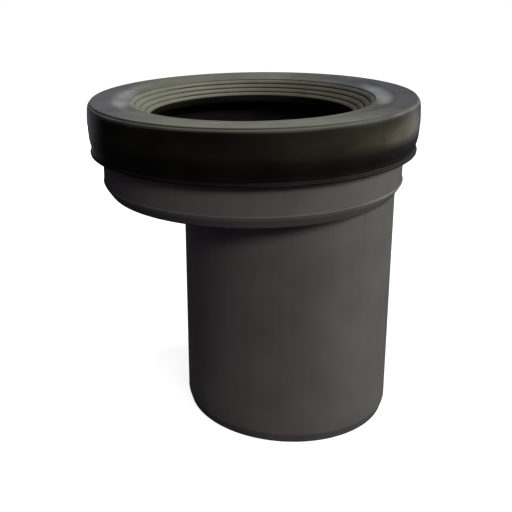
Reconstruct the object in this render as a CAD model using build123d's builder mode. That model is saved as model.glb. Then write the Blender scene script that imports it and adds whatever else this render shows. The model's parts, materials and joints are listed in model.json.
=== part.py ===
# Offset pan connector: a moulded cup with its spigot set to one side, and the rubber lip seal on its mouth.
# The origin is on the cup's axis, in the plane of the spigot's end. All sizes are in millimetres.
# +Z points up to the pan, and +X points from the cup's axis to the spigot's axis.
import os

from build123d import *

# Spigot: the plain end that goes into the soil pipe's socket
spigot_diameter = 110.0
spigot_wall = 3.2
spigot_length = 124.0
spigot_offset = 20.0
lead_in_length = 5.0
lead_in_depth = 1.5
root_flare_length = 7.0
root_flare_depth = 1.0
bore_mouth_chamfer = 1.0

# Cup: it stands on the spigot, with the spigot's flank a small step inside its wall
flank_step = 2.0
cup_wall = 3.5
cup_height = 42.5
floor_thickness = 4.0
foot_chamfer_depth = 3.0
foot_chamfer_height = 5.0

# Bead round the outside of the cup's rim, which the seal snaps over
rim_bead_depth = 2.6
rim_bead_height = 5.0

# Seal's channel, which closes over the rim from both sides
seal_clearance = 0.1
roof_thickness = 5.0
inner_skirt_thickness = 3.2
inner_skirt_height = 15.0

# Seal's outer skirt: it swells from the crown to its widest, and draws in over a shoulder to the neck
skirt_height = 26.5
skirt_thickness = 7.3
crown_inset = 0.6
crown_chamfer = 1.3
widest_drop = 10.5
shoulder_inset = 0.6
shoulder_drop = 18.5
neck_inset = 1.9
neck_length = 1.6

# Bead round the skirt's hem
hem_bead_depth = 1.2
hem_bead_height = 2.4
hem_bead_chamfer = 0.7
hem_bead_gap = 0.3
hem_setback = 0.8

# Seal's funnel: a shallow dish, then stepped lips down to the opening that grips the pan's outlet
opening_diameter = 103.8
opening_land = 4.5
lip_count = 4
lip_pitch = 2.62
lip_drop = 1.95
lip_riser_height = 1.0
lip_riser_lean = 0.3
dish_width = 8.1
dish_depth = 1.1
web_thickness = 5.0

# Places on the body that follow from the sizes above
spigot_radius = spigot_diameter / 2
bore_radius = spigot_radius - spigot_wall
cup_radius = spigot_offset + spigot_radius + flank_step
cup_inner_radius = cup_radius - cup_wall
floor_top = spigot_length + floor_thickness
rim_top = spigot_length + cup_height
rim_bead_radius = cup_radius + rim_bead_depth
rim_bead_foot = rim_top - rim_bead_height
spigot_axis = Axis((spigot_offset, 0, 0), (0, 0, 1))
spigot_section = Plane(origin=(spigot_offset, 0, 0), x_dir=(1, 0, 0), z_dir=(0, -1, 0))

# Places on the seal that follow from the sizes above
seal_top = rim_top + roof_thickness
seal_foot = seal_top - skirt_height
seal_radius = cup_radius + skirt_thickness
crown_radius = seal_radius - crown_inset
neck_radius = seal_radius - neck_inset
hem_bead_radius = neck_radius + hem_bead_depth
hem_bead_foot = seal_foot + hem_bead_gap
hem_bead_top = hem_bead_foot + hem_bead_height
channel_radius = cup_radius + seal_clearance
channel_bead_radius = rim_bead_radius + seal_clearance
channel_inner_radius = cup_inner_radius - seal_clearance
inner_skirt_radius = channel_inner_radius - inner_skirt_thickness
inner_skirt_foot = rim_top - inner_skirt_height
opening_radius = opening_diameter / 2
entry_radius = opening_radius + lip_count * lip_pitch
entry_height = seal_top - dish_depth
opening_height = entry_height - lip_count * lip_drop
opening_foot = opening_height - opening_land

# Moulded body
with BuildPart() as connector_body:
    # The cup, its floor and its rim bead are turned about the cup's axis, with the foot chamfered.
    with BuildSketch(Plane.XZ):
        with BuildLine():
            Polyline(
                (0, spigot_length),
                (cup_radius - foot_chamfer_depth, spigot_length),
                (cup_radius, spigot_length + foot_chamfer_height),
                (cup_radius, rim_bead_foot - rim_bead_depth),
                (rim_bead_radius, rim_bead_foot),
                (rim_bead_radius, rim_top),
                (cup_inner_radius, rim_top),
                (cup_inner_radius, floor_top),
                (0, floor_top),
                close=True,
            )
        make_face()
    revolve(axis=Axis.Z)

    # The spigot is turned about its own axis, with a lead-in at its end and a flare at its root.
    with BuildSketch(spigot_section):
        with BuildLine():
            Polyline(
                (0, 0),
                (spigot_radius - lead_in_depth, 0),
                (spigot_radius, lead_in_length),
                (spigot_radius, floor_top - root_flare_length),
                (spigot_radius + root_flare_depth, floor_top),
                (0, floor_top),
                close=True,
            )
        make_face()
    revolve(axis=spigot_axis)

    # The bore runs right through, and its mouth in the cup's floor is chamfered.
    with BuildSketch(spigot_section):
        with BuildLine():
            Polyline(
                (0, 0),
                (bore_radius, 0),
                (bore_radius, floor_top - bore_mouth_chamfer),
                (bore_radius + bore_mouth_chamfer, floor_top),
                (0, floor_top),
                close=True,
            )
        make_face()
    revolve(axis=spigot_axis, mode=Mode.SUBTRACT)

# Rubber seal, one turned section
with BuildPart() as lip_seal:
    with BuildSketch(Plane.XZ):
        with BuildLine():
            # The crown's chamfer and the flat top lead in to the shallow dish.
            Polyline(
                (crown_radius, seal_top - crown_chamfer),
                (crown_radius - crown_chamfer, seal_top),
                (entry_radius + dish_width, seal_top),
                (entry_radius, entry_height),
            )
            # Each lip drops by a steep riser and then slopes in to the edge of the next one.
            for lip in range(lip_count):
                edge_radius = entry_radius - lip * lip_pitch
                edge_height = entry_height - lip * lip_drop
                Polyline(
                    (edge_radius, edge_height),
                    (edge_radius - lip_riser_lean, edge_height - lip_riser_height),
                    (edge_radius - lip_pitch, edge_height - lip_drop),
                )
            # The opening's land and the web's underside lead to the channel that takes the cup's rim.
            Polyline(
                (opening_radius, opening_height),
                (opening_radius, opening_foot),
                (entry_radius, entry_height - web_thickness),
                (inner_skirt_radius, entry_height - web_thickness),
                (inner_skirt_radius, inner_skirt_foot),
                (channel_inner_radius, inner_skirt_foot),
                (channel_inner_radius, rim_top),
                (channel_bead_radius, rim_top),
                (channel_bead_radius, rim_bead_foot),
                (channel_radius, rim_bead_foot - rim_bead_depth),
                (channel_radius, seal_foot),
            )
            # The hem carries its bead, and the barrel of the skirt closes the section up to the crown.
            Polyline(
                (channel_radius, seal_foot),
                (neck_radius - hem_setback, seal_foot),
                (neck_radius, hem_bead_foot),
                (hem_bead_radius, hem_bead_foot + hem_bead_chamfer),
                (hem_bead_radius, hem_bead_top - hem_bead_chamfer),
                (neck_radius, hem_bead_top),
                (neck_radius, hem_bead_top + neck_length),
                (seal_radius - shoulder_inset, seal_top - shoulder_drop),
                (seal_radius, seal_top - widest_drop),
                (crown_radius, seal_top - crown_chamfer),
            )
        make_face()
    revolve(axis=Axis.Z)

os.makedirs("parts", exist_ok=True)
connector_body.part.label = "connector_body"
export_step(connector_body.part, "parts/connector_body.step")
lip_seal.part.label = "lip_seal"
export_step(lip_seal.part, "parts/lip_seal.step")
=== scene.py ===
import json
import math

import bpy
from mathutils import Matrix, Vector, noise


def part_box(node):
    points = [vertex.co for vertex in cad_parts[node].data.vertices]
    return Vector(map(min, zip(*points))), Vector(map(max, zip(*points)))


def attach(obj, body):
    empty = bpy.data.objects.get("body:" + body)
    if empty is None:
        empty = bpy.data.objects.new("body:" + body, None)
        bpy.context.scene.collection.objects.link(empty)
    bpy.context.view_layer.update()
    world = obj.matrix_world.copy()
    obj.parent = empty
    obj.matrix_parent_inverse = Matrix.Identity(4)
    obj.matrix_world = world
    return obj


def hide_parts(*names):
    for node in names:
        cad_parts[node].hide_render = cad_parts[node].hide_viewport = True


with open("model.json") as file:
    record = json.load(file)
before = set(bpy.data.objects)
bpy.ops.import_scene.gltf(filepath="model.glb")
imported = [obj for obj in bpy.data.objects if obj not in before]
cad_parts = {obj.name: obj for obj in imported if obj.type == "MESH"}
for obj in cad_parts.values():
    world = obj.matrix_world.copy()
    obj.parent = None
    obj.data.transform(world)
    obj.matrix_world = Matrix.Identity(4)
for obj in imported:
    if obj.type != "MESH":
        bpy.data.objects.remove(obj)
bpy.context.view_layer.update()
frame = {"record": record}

# Connector body
# One injection moulding in dark grey plastic: a shallow round cup, a flat floor, and a plain spigot set to
# one side of the cup's axis. It stands on the spigot's end, and the seal is pushed on over its rim.
mm = 0.001
mounts = {mount["name"]: mount for mount in frame["record"]["mounts"]}
spigot_offset = mounts["spigot"]["pos_m"][0]
spigot_middle = mounts["spigot"]["pos_m"][2]
spigot_radius = mounts["spigot"]["dims"]["r_mm"] * mm
spigot_half_run = mounts["spigot"]["dims"]["length_mm"] * mm / 2
spigot_thickness = 3.2 * mm
lead_in_top = spigot_middle - spigot_half_run
lead_in_depth = 1.5 * mm
flare_foot = spigot_middle + spigot_half_run
flare_slope = 1 / 14
bore_radius = spigot_radius - spigot_thickness
bore_mouth_chamfer = 1 * mm

body_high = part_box("connector_body")[1]
rim_top = body_high.z
rim_bead_radius = body_high.x
rim_bead_depth = 2.6 * mm
rim_bead_height = 5 * mm
rim_bead_foot = rim_top - rim_bead_height
cup_height = 42.5 * mm
cup_thickness = 3.5 * mm
cup_radius = rim_bead_radius - rim_bead_depth
cup_inner_radius = cup_radius - cup_thickness
cup_underside = rim_top - cup_height
floor_thickness = 4 * mm
floor_top = cup_underside + floor_thickness
floor_fillet = 3 * mm

# The foot is a bevel with a steeper land over it, and the mould line's ledge runs along the top of the land.
foot_height = 6.3 * mm
foot_depth = 3.6 * mm
land_height = 1.7 * mm
land_depth = 0.4 * mm
ledge_depth = 0.5 * mm
ledge_rise = 0.5 * mm
ledge_height = cup_underside + foot_height
deepest_ledge_turn = -0.6

# Lengths that the edges are rounded over
ledge_edge = 0.15 * mm
snap_edge = 0.4 * mm
crisp_edge = 0.5 * mm
soft_edge = 0.6 * mm
rim_edge = 0.8 * mm
flare_edge = 2 * mm
root_crease = 0.8 * mm


def rounded(corners, steps=4):
    """Runs straight from corner to corner round a closed loop, and rounds each one over the length it names.

    A point just past each end of a rounding keeps the straight run beside it flat under smooth shading.
    """
    rounding_of_side = 0.4
    flat_of_rounding = 0.6
    flat_of_side = 0.05
    points = []
    for i, (corner, length) in enumerate(corners):
        back = corners[i - 1][0] - corner
        on = corners[(i + 1) % len(corners)][0] - corner
        reach = min(length, rounding_of_side * back.length, rounding_of_side * on.length)
        if reach == 0:
            points.append(corner)
            continue
        start = corner + back.normalized() * reach
        end = corner + on.normalized() * reach
        points.append(start + back.normalized() * min(flat_of_rounding * reach, flat_of_side * back.length))
        for step in range(steps + 1):
            t = step / steps
            points.append(start * (1 - t) ** 2 + corner * 2 * t * (1 - t) + end * t ** 2)
        points.append(end + on.normalized() * min(flat_of_rounding * reach, flat_of_side * on.length))
    return points


def cup_foot(radius):
    """Height of the cup's underside at a radius: flat, then rising along the foot's bevel to its land."""
    bevel_depth = foot_depth - land_depth
    along = min(max(0.0, radius - (cup_radius - foot_depth)) / bevel_depth, 1.0)
    return cup_underside + (foot_height - land_height) * along


def body_section(angle):
    """One closed section: up the spigot, out under the cup, over the rim, and back down the bore."""

    def on_spigot(radius, height):
        return Vector((spigot_offset + radius * math.cos(angle), radius * math.sin(angle), height))

    def spigot_wall(height):
        return spigot_radius + flare_slope * max(0.0, height - flare_foot)

    # The root is where the flared wall meets the cup's underside. It is found by going from one to the other
    # until the height settles. The cup's part of the section lies in the plane of its axis and the root.
    settling_steps = 40
    root_height = cup_underside
    for _ in range(settling_steps):
        root_height = cup_foot(on_spigot(spigot_wall(root_height), 0).length)
    root = on_spigot(spigot_wall(root_height), root_height)
    reach = root.xy.length
    azimuth = math.atan2(root.y, root.x)

    def on_cup(radius, height):
        return Vector((radius * math.cos(azimuth), radius * math.sin(azimuth), height))

    # Where the spigot covers the flat underside, the knee of the bevel moves out and stays clear of the root.
    land_radius = cup_radius - land_depth
    knee_radius = max(cup_radius - foot_depth, reach + 0.2 * (land_radius - reach))
    crease_radius = reach + min(root_crease, 0.5 * (knee_radius - reach))
    crease_foot = on_spigot(spigot_wall(root_height - root_crease), root_height - root_crease)
    crease_out = on_cup(crease_radius, cup_foot(crease_radius))
    crease_middle = crease_foot * 0.25 + root * 0.5 + crease_out * 0.25

    # The two halves of the mould meet at the top of the foot, and the lower one leaves a fine ledge there.
    ledge = ledge_depth * (0.8 + 0.2 * math.cos(azimuth - deepest_ledge_turn))

    mouth = on_spigot(bore_radius + bore_mouth_chamfer, floor_top)
    floor_edge = on_cup(cup_inner_radius, floor_top)
    floor_rounding = min(floor_fillet, 0.4 * (floor_edge - mouth).length)
    return rounded([
        (on_spigot(bore_radius, 0), crisp_edge),
        (on_spigot(spigot_radius - lead_in_depth, 0), soft_edge),
        (on_spigot(spigot_radius, lead_in_top), soft_edge),
        (on_spigot(spigot_radius, flare_foot), flare_edge),
        (crease_foot, 0),
        (crease_middle, 0),
        (crease_out, 0),
        (on_cup(knee_radius, cup_foot(knee_radius)), soft_edge),
        (on_cup(land_radius, cup_foot(land_radius)), crisp_edge),
        (on_cup(cup_radius + ledge, ledge_height), ledge_edge),
        (on_cup(cup_radius, ledge_height + ledge_rise), ledge_edge),
        (on_cup(cup_radius, rim_bead_foot - rim_bead_depth), snap_edge),
        (on_cup(rim_bead_radius, rim_bead_foot), snap_edge),
        (on_cup(rim_bead_radius, rim_top), rim_edge),
        (on_cup(cup_inner_radius, rim_top), crisp_edge),
        (floor_edge, floor_rounding),
        (mouth, snap_edge),
        (on_spigot(bore_radius, floor_top - bore_mouth_chamfer), soft_edge),
    ])


def full_turn(segments):
    """Angles all the way round."""
    return [math.tau * i / segments for i in range(segments)]


def sections_mesh(name, sections):
    """A closed, smooth-shaded mesh through closed sections that follow each other all the way round."""
    count = len(sections[0])
    faces = []
    for i in range(len(sections)):
        here = i * count
        there = (i + 1) % len(sections) * count
        for k in range(count):
            after = (k + 1) % count
            faces.append((here + k, there + k, there + after, here + after))
    mesh = bpy.data.meshes.new(name)
    mesh.from_pydata([point for section in sections for point in section], [], faces)
    mesh.polygons.foreach_set("use_smooth", [True] * len(faces))
    mesh.update()
    piece = bpy.data.objects.new(name, mesh)
    bpy.context.scene.collection.objects.link(piece)
    return piece


body_segments = 288
body = sections_mesh("body", [body_section(angle) for angle in full_turn(body_segments)])


def new_material(name, constants):
    """A material, its node tree and its Principled shader, with constants set on the shader's own sockets."""
    material = bpy.data.materials.new(name)
    material.use_nodes = True
    shader = material.node_tree.nodes["Principled BSDF"]
    for socket, value in constants.items():
        shader.inputs[socket].default_value = value
    return material, material.node_tree, shader


def feed(tree, source, socket):
    """Links another node's output to a socket, or sets the socket to a plain value."""
    if isinstance(source, bpy.types.NodeSocket):
        tree.links.new(source, socket)
    else:
        socket.default_value = source


def add_math(tree, operation, *sources):
    """A sum, a product or the like of outputs and plain numbers."""
    node = tree.nodes.new("ShaderNodeMath")
    node.operation = operation
    for source, socket in zip(sources, node.inputs):
        feed(tree, source, socket)
    return node.outputs["Value"]


def add_vector_math(tree, operation, *sources):
    """The same for vectors. A length or a dot product comes out as a number."""
    node = tree.nodes.new("ShaderNodeVectorMath")
    node.operation = operation
    for source, socket in zip(sources, node.inputs):
        feed(tree, source, socket)
    return node.outputs["Value" if operation in ("LENGTH", "DOT_PRODUCT") else "Vector"]


def add_product(tree, first, second):
    """The product of two masks."""
    return add_math(tree, "MULTIPLY", first, second)


def add_reach(tree, position, direction):
    """How far a point lies along a direction."""
    return add_vector_math(tree, "DOT_PRODUCT", position, direction)


def add_axes(tree, vector):
    """The X, Y and Z of a vector, by name."""
    split = tree.nodes.new("ShaderNodeSeparateXYZ")
    tree.links.new(vector, split.inputs["Vector"])
    return split.outputs


def add_fade(tree, source, start, end, low=0, high=1):
    """A value that goes from low to high while the source goes from start to end, and holds beyond them."""
    fade = tree.nodes.new("ShaderNodeMapRange")
    tree.links.new(source, fade.inputs["Value"])
    feed(tree, start, fade.inputs["From Min"])
    feed(tree, end, fade.inputs["From Max"])
    feed(tree, low, fade.inputs["To Min"])
    feed(tree, high, fade.inputs["To Max"])
    return fade.outputs["Result"]


def add_ramp(tree, source, tones, start=0.3, end=0.7):
    """A colour that goes from the dark tone to the pale one while the source goes from start to end."""
    ramp = tree.nodes.new("ShaderNodeValToRGB")
    for element, position, tone in zip(ramp.color_ramp.elements, (start, end), tones):
        element.position = position
        element.color = (*tone, 1)
    tree.links.new(source, ramp.inputs["Fac"])
    return ramp.outputs["Color"]


def add_mix(tree, factor, first, second, kind="RGBA"):
    """A blend that goes from the first to the second while the factor goes from 0 to 1."""
    mix = tree.nodes.new("ShaderNodeMix")
    mix.data_type = kind
    feed(tree, factor, mix.inputs["Factor"])
    feed(tree, first, mix.inputs["A"])
    feed(tree, second, mix.inputs["B"])
    return mix.outputs["Result"]


def add_bump(tree, shader, height, strength, distance):
    """Shades the surface as if it rose by a height, at most by the distance."""
    bump = tree.nodes.new("ShaderNodeBump")
    bump.inputs["Strength"].default_value = strength
    bump.inputs["Distance"].default_value = distance
    tree.links.new(height, bump.inputs["Height"])
    tree.links.new(bump.outputs["Normal"], shader.inputs["Normal"])


def surface_group():
    """What a moulded surface shows close up: a slow cloudy change of tone, a fine grain, and long streaks."""
    group = bpy.data.node_groups.new("moulded_surface", "ShaderNodeTree")
    details = {"Cloud": 4, "Grain": 2, "Streak": 3}
    for effect in details:
        group.interface.new_socket(effect + " Scale", in_out="INPUT", socket_type="NodeSocketVector")
        group.interface.new_socket(effect, in_out="OUTPUT", socket_type="NodeSocketFloat")
    inlet = group.nodes.new("NodeGroupInput")
    outlet = group.nodes.new("NodeGroupOutput")
    place = group.nodes.new("ShaderNodeTexCoord").outputs["Object"]
    for effect, detail in details.items():
        texture = group.nodes.new("ShaderNodeTexNoise")
        texture.inputs["Scale"].default_value = 1
        texture.inputs["Detail"].default_value = detail
        scaled = add_vector_math(group, "MULTIPLY", place, inlet.outputs[effect + " Scale"])
        group.links.new(scaled, texture.inputs["Vector"])
        group.links.new(texture.outputs["Fac"], outlet.inputs[effect])
    return group


moulded_surface = surface_group()


def add_surface(tree, cloud, grain, streak):
    """The moulded surface with a material's own scales, per metre. The streaks have one for each axis."""
    node = tree.nodes.new("ShaderNodeGroup")
    node.node_tree = moulded_surface
    node.inputs["Cloud Scale"].default_value = (cloud, cloud, cloud)
    node.inputs["Grain Scale"].default_value = (grain, grain, grain)
    node.inputs["Streak Scale"].default_value = streak
    return node.outputs


wall_tones = ((0.066, 0.063, 0.062), (0.084, 0.081, 0.079))
# Painted shade towards the spigot's end
end_shade_tones = ((0.046, 0.044, 0.044), (0.059, 0.057, 0.056))
# Painted highlight along the mould line
ledge_highlight_tones = ((0.105, 0.104, 0.098), (0.150, 0.150, 0.140))
# Painted shade inside and under the cup
inner_shade_tones = ((0.009, 0.008, 0.009), (0.013, 0.012, 0.013))
streak_share = 0.2
# Height up to which the spigot's end is painted darker
end_shade_top = 3.2 * lead_in_top
mould_line = ledge_height + ledge_rise / 2
# Lit side, where the mould line's painted highlight is strongest
lit_side = (0.83, -0.56, 0)


def plastic_material():
    """Dull grey plastic in a cloudy tone, with painted shade at the spigot's end, inside and under the cup,
    and a painted highlight along the mould line.
    """
    material, tree, shader = new_material("grey_plastic", {"Specular IOR Level": 0.0})
    surface = add_surface(tree, cloud=38, grain=1900, streak=(420, 420, 7))
    tone = add_mix(tree, streak_share, surface["Cloud"], surface["Streak"], kind="FLOAT")
    geometry = tree.nodes.new("ShaderNodeNewGeometry").outputs
    position = geometry["Position"]
    height = add_axes(tree, position)["Z"]

    # Painted shade: the spigot is darker towards its end, most of all on its lead-in, which faces down.
    near_end = add_fade(tree, height, lead_in_top, end_shade_top, low=1, high=0)
    on_lead_in = add_fade(tree, height, 0.95 * lead_in_top, 1.1 * lead_in_top, low=1, high=0.4)
    shaded_end = add_product(tree, near_end, on_lead_in)
    colour = add_mix(tree, shaded_end, add_ramp(tree, tone, wall_tones), add_ramp(tree, tone, end_shade_tones))

    # Painted highlight: the mould line is painted pale, as if its ledge caught the light, most of all on the
    # lit side over the spigot.
    off_line = add_math(tree, "ABSOLUTE", add_math(tree, "SUBTRACT", height, mould_line))
    on_line = add_fade(tree, off_line, 0.2 * mm, 0.5 * mm, low=1, high=0)
    over_spigot = add_reach(tree, position, lit_side)
    on_side = add_fade(tree, over_spigot, 0.90 * cup_radius, 0.995 * cup_radius, low=0.1, high=1)
    highlighted_line = add_product(tree, on_line, on_side)
    colour = add_mix(tree, highlighted_line, colour, add_ramp(tree, surface["Cloud"], ledge_highlight_tones))

    # Painted shade covers the faces that look in towards the axis, and the cup's underside.
    outward = add_reach(tree, position, geometry["Normal"])
    inside = add_fade(tree, outward, -40 * mm, -4 * mm, low=1, high=0)
    colour = add_mix(tree, inside, colour, add_ramp(tree, tone, inner_shade_tones))
    tree.links.new(colour, shader.inputs["Base Color"])
    tree.links.new(add_fade(tree, tone, 0.3, 0.7, low=0.42, high=0.56), shader.inputs["Roughness"])
    add_bump(tree, shader, surface["Grain"], strength=0.25, distance=0.06 * mm)
    return material


body.data.materials.append(plastic_material())
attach(body, "root")
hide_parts("connector_body")

# Lip seal
# One moulding in black rubber, pulled over the cup's rim so that its channel snaps behind the rim's bead.
# A barrel-shaped skirt with a bead at its hem covers the rim, and four stepped lips lead down to the opening.
seal_low, seal_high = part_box("lip_seal")
seal_radius = seal_high.x
seal_top = seal_high.z
seal_foot = seal_low.z
neck_radius = seal_radius - 1.9 * mm
channel_gap = 0.1 * mm
inner_skirt_radius = cup_inner_radius - 3.3 * mm
inner_skirt_foot = rim_top - 15 * mm

opening_radius = mounts["pan_inlet"]["dims"]["r_mm"] * mm
opening_foot = mounts["pan_inlet"]["pos_m"][2] - 1.9 * mm
lip_count = 4
lip_pitch = 2.62 * mm
lip_drop = 1.95 * mm
lip_riser = 0.75 * mm
lip_lean = 0.3 * mm
lip_arch = 0.3 * mm
entry_radius = opening_radius + lip_count * lip_pitch
entry_height = seal_top - 1.1 * mm
opening_height = entry_height - lip_count * lip_drop
web_foot = entry_height - 5 * mm

# Soft rubber is a little uneven: slowly over its outer faces and its top, and quickly along the hem's bead.
skin_unevenness = 0.1 * mm
skin_waves = 55
skin_radius = rim_bead_radius + 1 * mm
skin_foot = rim_top + 2 * mm
hem_unevenness = 0.35 * mm
hem_waves = 300
hem_radius = neck_radius + 0.2 * mm
hem_top = seal_foot + 3 * mm


def seal_profile():
    """Half section of the seal, with its corners rounded.

    A corner is a radius and a height in metres, and the length in millimetres that it is rounded over.
    """
    # Hem, with the bead that stands out from the neck
    corners = [
        (cup_radius + channel_gap, seal_foot, 0.3),
        (neck_radius - 0.8 * mm, seal_foot, 0.6),
        (neck_radius, seal_foot + 0.25 * mm, 0.25),
        (neck_radius + 1.1 * mm, seal_foot + 0.5 * mm, 0.6),
        (neck_radius + 1.0 * mm, seal_foot + 1.5 * mm, 0.6),
        (neck_radius + 0.2 * mm, seal_foot + 2.3 * mm, 0.7),
        (neck_radius + 0.3 * mm, seal_foot + 4.3 * mm, 1.2),
    ]
    # Barrel of the skirt, and the crown that steps in to the flat top
    corners += [
        (seal_radius - 0.6 * mm, seal_top - 18.5 * mm, 2.6),
        (seal_radius - 0.05 * mm, seal_top - 10.5 * mm, 3.2),
        (seal_radius - 0.42 * mm, seal_top - 3.6 * mm, 0.8),
        (seal_radius - 0.6 * mm, seal_top - 2.2 * mm, 0.4),
        (seal_radius - 1.0 * mm, seal_top - 1.3 * mm, 0.2),
        (seal_radius - 1.6 * mm, seal_top - 0.85 * mm, 0.15),
        (seal_radius - 2.0 * mm, seal_top, 0.25),
    ]
    # Shallow dish
    corners += [
        (entry_radius + 10.2 * mm, seal_top, 1.0),
        (entry_radius + 5.2 * mm, seal_top - 1.05 * mm, 1.8),
        (entry_radius, entry_height, 0.4),
    ]
    # Each lip drops by a riser, and arches in to the edge of the next one
    for lip in range(lip_count):
        edge = entry_radius - lip * lip_pitch
        height = entry_height - lip * lip_drop
        corners += [
            (edge - lip_lean, height - lip_riser, 0.3),
            (edge - 0.5 * lip_pitch, height - 0.5 * (lip_riser + lip_drop) + lip_arch, 0.6),
            (edge - lip_pitch, height - lip_drop, 0.4),
        ]
    # Undercut below the opening, the web's underside and the inner skirt
    corners += [
        (opening_radius + 0.2 * mm, opening_height - 1.2 * mm, 0.4),
        (opening_radius + 3 * mm, opening_foot, 0.8),
        (entry_radius, web_foot, 1),
        (inner_skirt_radius, web_foot, 1),
        (inner_skirt_radius, inner_skirt_foot, 0.5),
    ]
    # Channel that takes the cup's rim
    corners += [
        (cup_inner_radius - channel_gap, inner_skirt_foot, 0.5),
        (cup_inner_radius - channel_gap, rim_top, 0),
        (rim_bead_radius + channel_gap, rim_top, 0),
        (rim_bead_radius + channel_gap, rim_bead_foot, 0),
        (cup_radius + channel_gap, rim_bead_foot - rim_bead_depth, 0),
    ]
    placed = [(Vector((radius, 0, height)), rounding * mm) for radius, height, rounding in corners]
    return rounded(placed, steps=3)


def seal_section(angle, profile):
    """The half section turned to its place, with the unevenness of the rubber."""
    turn = Matrix.Rotation(angle, 3, "Z")

    def dent(place, depth, waves):
        return turn @ Vector((depth * (0.5 + 0.5 * noise.noise(place * waves)), 0, 0))

    section = []
    for point in profile:
        place = turn @ point
        if point.x > skin_radius or point.z > skin_foot:
            place -= dent(place, skin_unevenness, skin_waves)
        if point.x > hem_radius and point.z < hem_top:
            place -= dent(place, hem_unevenness, hem_waves)
        section.append(place)
    return section


half_section = seal_profile()
seal_segments = 320
seal = sections_mesh("seal", [seal_section(angle, half_section) for angle in full_turn(seal_segments)])

clean_tones = ((0.0028, 0.0025, 0.0021), (0.0058, 0.0049, 0.0041))
# Faint bloom, with painted sheen where it is strongest
bloom_and_sheen_tones = ((0.014, 0.0122, 0.0088), (0.032, 0.0280, 0.0200))
# Painted highlight on the flank
flank_highlight_tones = ((0.026, 0.0235, 0.0175), (0.066, 0.0590, 0.0455))
olive_dust = ((0.112, 0.114, 0.095), (0.153, 0.157, 0.129))
bluish_dust = ((0.078, 0.080, 0.089), (0.110, 0.112, 0.122))
# Dust painted darker over the spigot as painted shade
shaded_dust = ((0.057, 0.058, 0.064), (0.084, 0.086, 0.093))
# Dust painted paler in front as painted light
lit_front_dust = ((0.133, 0.136, 0.115), (0.173, 0.177, 0.151))
# Painted highlight in the dish
dish_highlight_tones = ((0.130, 0.134, 0.142), (0.230, 0.234, 0.240))
pale_lip_dust = ((0.136, 0.140, 0.112), (0.178, 0.184, 0.147))
# Lip dust painted darker over the spigot as painted shade
shaded_lip_dust = ((0.078, 0.076, 0.056), (0.106, 0.103, 0.078))
# Side where the painted sheen is strongest
sheen_side = (0.82, -0.57, 0)
# Middle of the flank's painted highlight
flank_highlight_side = (0.79, -0.613, 0)
front_side = (-0.10, -0.995, 0)
# Ends of the dish where its painted highlight lies
dish_highlight_side = (0.99, -0.12, 0)


def fade_across(tree, reach, near, far, low=0, high=1):
    """A fade over distances from the axis, which are shares of the seal's radius."""
    return add_fade(tree, reach, near * seal_radius, far * seal_radius, low, high)


def fade_up(tree, height, deep, shallow, low=0, high=1):
    """A fade up the seal, between two depths below its top in millimetres."""
    return add_fade(tree, height, seal_top - deep * mm, seal_top - shallow * mm, low, high)


def bare_colour_and_painted_light(tree, position, height, surface):
    """Clean black rubber, with a faint brownish bloom in level streaks all round, painted sheen and a painted
    highlight.

    The painted sheen is strongest high on the flank over the spigot, where the light falls, and the painted
    highlight lies in the middle of it.
    """
    # Painted sheen, strongest high on the flank over the spigot where the light falls, over a faint bloom all
    # round.
    bloom_and_sheen_reach = add_reach(tree, position, sheen_side)
    flank = fade_across(tree, bloom_and_sheen_reach, 0.5, 0.93, low=0.22, high=1)
    upper_flank = add_product(tree, flank, fade_up(tree, height, 16.5, 12))
    bloom_and_sheen_share = add_product(tree, upper_flank, fade_up(tree, height, 9, 3, low=1, high=0.6))
    # Painted highlight: a pale patch in the middle of the sheen, on the flank over the spigot.
    flank_highlight_reach = add_reach(tree, position, flank_highlight_side)
    near_flank_highlight = fade_across(tree, flank_highlight_reach, 0.955, 0.985)
    flank_highlighted = add_product(tree, near_flank_highlight, fade_up(tree, height, 10, 4, low=1, high=0.4))

    clean = add_ramp(tree, surface["Cloud"], clean_tones, 0.35, 0.75)
    bloom = add_ramp(tree, surface["Streak"], bloom_and_sheen_tones, 0.35, 0.65)
    flank_highlight = add_ramp(tree, surface["Streak"], flank_highlight_tones, 0.35, 0.65)
    return add_mix(tree, bloom_and_sheen_share, clean, add_mix(tree, flank_highlighted, bloom, flank_highlight))


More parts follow.
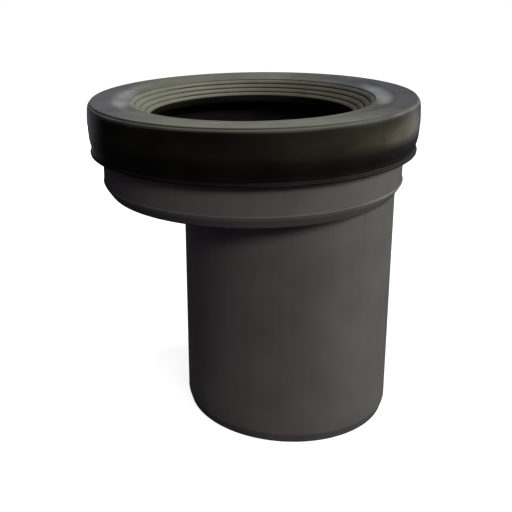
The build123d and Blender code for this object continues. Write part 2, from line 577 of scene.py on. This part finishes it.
def dust_colour_and_painted_light(tree, position, axes, lips, cloud):
    """Olive dust: bluish at the two ends, with painted shade over the spigot, painted light in front and a
    painted highlight in the dish, and pale on the lips with painted shade over the spigot.
    """
    ends = fade_across(tree, add_math(tree, "ABSOLUTE", axes["X"]), 0.5, 0.9)
    colour = add_mix(tree, ends, add_ramp(tree, cloud, olive_dust), add_ramp(tree, cloud, bluish_dust))
    # Painted shade: the dust is darker over the spigot.
    over_spigot = fade_across(tree, axes["X"], 0.25, 0.85)
    colour = add_mix(tree, over_spigot, colour, add_ramp(tree, cloud, shaded_dust))
    # Painted light: the dust is paler in front.
    front_reach = add_reach(tree, position, front_side)
    in_front = fade_across(tree, front_reach, 0.70, 0.88)
    colour = add_mix(tree, in_front, colour, add_ramp(tree, cloud, lit_front_dust))

    # Painted highlight: the dish is painted pale at each of its two ends, where it catches a reflection.
    end_reach = add_math(tree, "ABSOLUTE", add_reach(tree, position, dish_highlight_side))
    dish = fade_up(tree, axes["Z"], 0.9, 0.15, low=1, high=0)
    dish_highlighted = add_product(tree, dish, fade_across(tree, end_reach, 0.70, 0.76))
    colour = add_mix(tree, dish_highlighted, colour, add_ramp(tree, cloud, dish_highlight_tones, 0.35, 0.65))

    # On the lips it is pale, and turns darker and brown over the spigot, as painted shade on the lips that
    # face away from the light.
    pale = add_ramp(tree, cloud, pale_lip_dust)
    brown = add_ramp(tree, cloud, shaded_lip_dust)
    shaded_lips = fade_across(tree, axes["X"], -0.15, 0.25)
    return add_mix(tree, lips, colour, add_mix(tree, shaded_lips, pale, brown))


def settled_dust(tree, normal, axes, lips):
    """How much dust lies: most on the faces near the top that look straight up, and none on the steep ones.

    The lips' risers stay bare, except at the end away from the spigot, where dust fills the grooves.
    """
    steepest_lip = fade_across(tree, axes["X"], -0.68, -0.3, low=0.1, high=0.45)
    steepest = add_fade(tree, lips, 0, 1, low=0.2, high=steepest_lip)
    upward = add_fade(tree, add_axes(tree, normal)["Z"], steepest, 0.96)
    return add_product(tree, upward, fade_up(tree, axes["Z"], 14, 8))


def rubber_material():
    """Black rubber, dusty on its level faces with painted shade and light in the dust, with a faint bloom,
    and painted sheen and a painted highlight high on its flank over the spigot.
    """
    material, tree, shader = new_material("black_rubber", {"Specular IOR Level": 0.5, "IOR": 1.15})
    surface = add_surface(tree, cloud=60, grain=1500, streak=(26, 26, 75))
    geometry = tree.nodes.new("ShaderNodeNewGeometry").outputs
    position = geometry["Position"]
    axes = add_axes(tree, position)
    lips = add_fade(tree, axes["Z"], entry_height - 1.5 * mm, entry_height - 0.6 * mm, low=1, high=0)

    # Some of the dust has been wiped off the crown's edge.
    settled = settled_dust(tree, geometry["Normal"], axes, lips)
    radius = add_vector_math(tree, "LENGTH", add_vector_math(tree, "MULTIPLY", position, (1, 1, 0)))
    unwiped = add_fade(tree, radius, seal_radius - 2.2 * mm, seal_radius - 1.6 * mm, low=1, high=0.7)
    dusted = add_product(tree, settled, unwiped)
    # Clean rubber with its bloom, painted sheen and painted highlight, and dust that carries painted shade
    # and light.
    bare = bare_colour_and_painted_light(tree, position, axes["Z"], surface)
    dust = dust_colour_and_painted_light(tree, position, axes, lips, surface["Cloud"])
    tree.links.new(add_mix(tree, dusted, bare, dust), shader.inputs["Base Color"])

    # The flank is smoother towards its top, and dust dulls what it lies on.
    flank_roughness = fade_up(tree, axes["Z"], 18, 10, low=0.5, high=0.33)
    dust_roughness = add_fade(tree, settled, 0, 1, low=0, high=0.3)
    tree.links.new(add_math(tree, "ADD", flank_roughness, dust_roughness), shader.inputs["Roughness"])
    add_bump(tree, shader, surface["Grain"], strength=0.3, distance=0.08 * mm)
    return material


seal.data.materials.append(rubber_material())
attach(seal, "root")
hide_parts("lip_seal")

# Floor
# A wide pale table that takes the soft shadow of the object. Its own glow, which only the camera,
# reflections and glass see, brings it up to white, and is a little less round the object.
floor_drop = 0.1 * mm
floor_sides = (-3.0, 3.0)
floor_corners = [(x, y, -floor_drop) for y in floor_sides for x in floor_sides]
floor_mesh = bpy.data.meshes.new("floor")
floor_mesh.from_pydata(floor_corners, [], [(0, 1, 3, 2)])
floor = bpy.data.objects.new("floor", floor_mesh)
bpy.context.scene.collection.objects.link(floor)


def add_seen(tree):
    """1 for the rays that show the background: from the camera, or sent on by a gloss or by glass."""
    path = tree.nodes.new("ShaderNodeLightPath").outputs
    camera_or_gloss = add_math(tree, "MAXIMUM", path["Is Camera Ray"], path["Is Glossy Ray"])
    return add_math(tree, "MAXIMUM", camera_or_gloss, path["Is Transmission Ray"])


def table_material():
    """Dull pale grey, with the glow."""
    material, tree, shader = new_material("white_table", {
        "Specular IOR Level": 0.0,
        "Roughness": 0.9,
        "Base Color": (0.5, 0.5, 0.5, 1),
        "Emission Color": (1, 1, 1, 1),
    })
    place = tree.nodes.new("ShaderNodeTexCoord").outputs["Object"]
    glow = add_fade(tree, add_vector_math(tree, "LENGTH", place), 0.15, 0.5, low=0.86, high=1.0)
    tree.links.new(add_product(tree, glow, add_seen(tree)), shader.inputs["Emission Strength"])
    return material


floor_mesh.materials.append(table_material())

# Light
# A key box low at the right, a wide fill box higher up in front, a small box overhead for the level faces,
# and a long low box behind.


def soft_box(name, place, aim, size, watts, colour=(1, 1, 1)):
    """A soft box that points at the cup's axis, at the height that it aims for."""
    lamp = bpy.data.lights.new(name, "AREA")
    lamp.shape = "RECTANGLE"
    lamp.size, lamp.size_y = size
    lamp.energy = watts
    lamp.color = colour
    box = bpy.data.objects.new(name, lamp)
    box.location = place
    box.rotation_euler = (Vector((0, 0, aim)) - Vector(place)).to_track_quat("-Z", "Y").to_euler()
    box.visible_camera = False
    bpy.context.scene.collection.objects.link(box)


soft_box("key", (0.89, -0.15, 0.38), aim=0.14, size=(0.4, 0.4), watts=9.5, colour=(0.97, 1.0, 0.93))
soft_box("fill", (0.33, -0.91, 0.64), aim=0.14, size=(0.7, 0.2), watts=8.3, colour=(1.0, 0.955, 0.88))
soft_box("top_box", (0.0, 0.0, 1.0), aim=0.1, size=(0.3, 0.3), watts=3.0)
soft_box("back_box", (-0.16, 0.80, 0.09), aim=0.09, size=(0.7, 0.14), watts=4.3, colour=(0.93, 0.93, 1.0))

# Dark cards
# Six dark cards stand in a ring round the object, and one lies on the table. The camera doesn't see them, and
# they throw no shadow. They keep the white room out of the rubber, and their faint glow lifts the shadows.
card_radius = 0.3
card_steps = 24
flat_card_inner_radius = 0.08
flat_card_height = 1 * mm


def dark_card(name, first_turn, last_turn, edges, glow, mirrored=1):
    """A curved card between two turns in degrees. Reflections see its glow at the mirrored strength."""
    step = (last_turn - first_turn) / card_steps
    turns = [math.radians(first_turn + step * i) for i in range(card_steps + 1)]
    points = [(radius * math.cos(turn), radius * math.sin(turn), z) for turn in turns for radius, z in edges]
    mesh = bpy.data.meshes.new(name)
    mesh.from_pydata(points, [], [(2 * i, 2 * i + 2, 2 * i + 3, 2 * i + 1) for i in range(card_steps)])
    card = bpy.data.objects.new(name, mesh)
    bpy.context.scene.collection.objects.link(card)
    material, tree, shader = new_material(name, {
        "Specular IOR Level": 0.0,
        "Base Color": (0.01, 0.01, 0.01, 1),
        "Emission Color": (*glow, 1),
    })
    path = tree.nodes.new("ShaderNodeLightPath").outputs
    strength = add_fade(tree, path["Is Glossy Ray"], 0, 1, low=1, high=mirrored)
    tree.links.new(strength, shader.inputs["Emission Strength"])
    mesh.materials.append(material)
    card.visible_camera = False
    card.visible_shadow = False


def upright(height):
    """Edges of a card that stands on the table."""
    return ((card_radius, 0), (card_radius, height))


flat_edges = ((flat_card_inner_radius, flat_card_height), (card_radius, flat_card_height))
dark_card("left_card", 109, 134, upright(0.4), glow=(0.10, 0.09, 0.17))
dark_card("side_card", 134, 244, upright(0.4), glow=(0.08, 0.073, 0.10), mirrored=0.15)
dark_card("front_card", 244, 365, upright(0.4), glow=(0.12, 0.11, 0.135), mirrored=0.15)
dark_card("low_card", 5, 32, upright(0.1), glow=(0.08, 0.06, 0.2))
dark_card("right_card", 32, 73, upright(0.7), glow=(0.06, 0.06, 0.10))
dark_card("rear_card", 73, 109, upright(0.7), glow=(0.14, 0.14, 0.115))
dark_card("floor_card", 0, 360, flat_edges, glow=(0.13, 0.12, 0.15), mirrored=0.1)

# Backdrop
# A white room. The camera, reflections and glass see it white, and it gives the object only a little light.
room_light = 0.06
world = bpy.data.worlds.new("studio")
bpy.context.scene.world = world
world.use_nodes = True
room = world.node_tree
backdrop = room.nodes["Background"]
backdrop.inputs["Color"].default_value = (1, 1, 1, 1)
room.links.new(add_fade(room, add_seen(room), 0, 1, low=room_light, high=1.0), backdrop.inputs["Strength"])

# Camera
# It stands in front of the seal and a little above it, as the photograph was taken. The frame is moved off
# the camera's axis, because the photograph is cropped off centre.
view_heading = 0.0459
view_pitch = 0.3122
view_roll = -0.0314
eye = Vector((-0.0620, -0.4101, seal_top + 0.0698))
camera = bpy.data.cameras.new("camera")
camera.lens = 56.85
camera.sensor_width = 36
camera.shift_x = 0.168
camera.shift_y = -0.08
camera.clip_start = 0.01
viewer = bpy.data.objects.new("camera", camera)
viewer.matrix_world = (
    Matrix.Translation(eye)
    @ Matrix.Rotation(-view_heading, 4, "Z")
    @ Matrix.Rotation(math.pi / 2 - view_pitch, 4, "X")
    @ Matrix.Rotation(view_roll, 4, "Z")
)
bpy.context.scene.collection.objects.link(viewer)
bpy.context.scene.camera = viewer
bpy.context.scene.view_settings.view_transform = "Standard"
